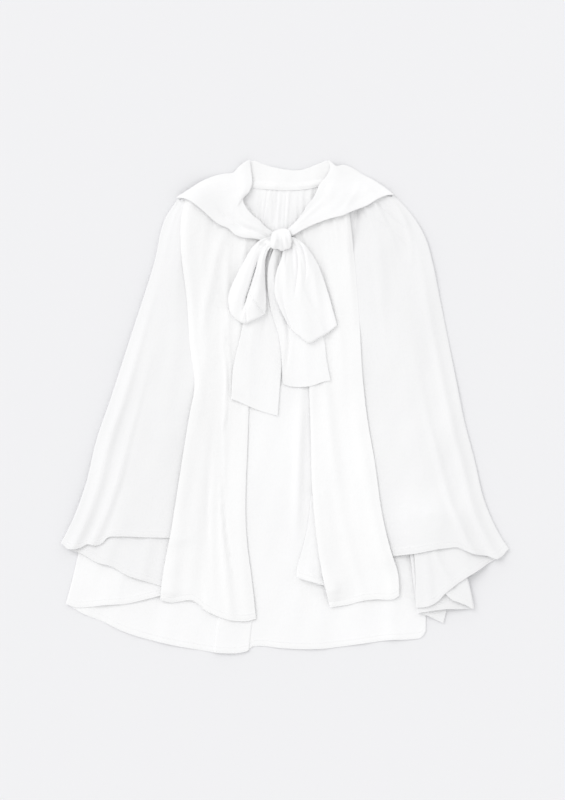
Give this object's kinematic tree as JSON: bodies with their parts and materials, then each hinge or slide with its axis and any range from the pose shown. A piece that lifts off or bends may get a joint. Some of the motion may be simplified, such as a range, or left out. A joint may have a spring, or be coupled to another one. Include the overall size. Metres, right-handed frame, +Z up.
{
  "type": "child's cape",
  "caption": "White crepe child's cape with gathered panels, side panels over the arms and a scarf collar tied in a bow, laid flat.",
  "frame": {"origin": "middle of the cape's outline box, on the surface that the cape lies on", "axes": "+Y from the hem towards the neck, +X towards the right-hand side of the picture (the wearer's left), +Z up out of the surface"},
  "size_m": [0.56, 0.6168, 0.0278],
  "materials": {
    "white_crepe": "matt"
  },
  "bodies": {
    "root": {"back": "white_crepe", "side_left": "white_crepe", "side_right": "white_crepe", "side_right_cascade": "white_crepe", "front_left": "white_crepe", "front_right": "white_crepe", "front_right_turnback": "white_crepe", "collar_stand": "white_crepe", "collar_left": "white_crepe", "collar_right": "white_crepe", "knot": "white_crepe", "loop_left": "white_crepe", "loop_right": "white_crepe", "tail_left": "white_crepe", "tail_right": "white_crepe"}
  },
  "joints": []
}
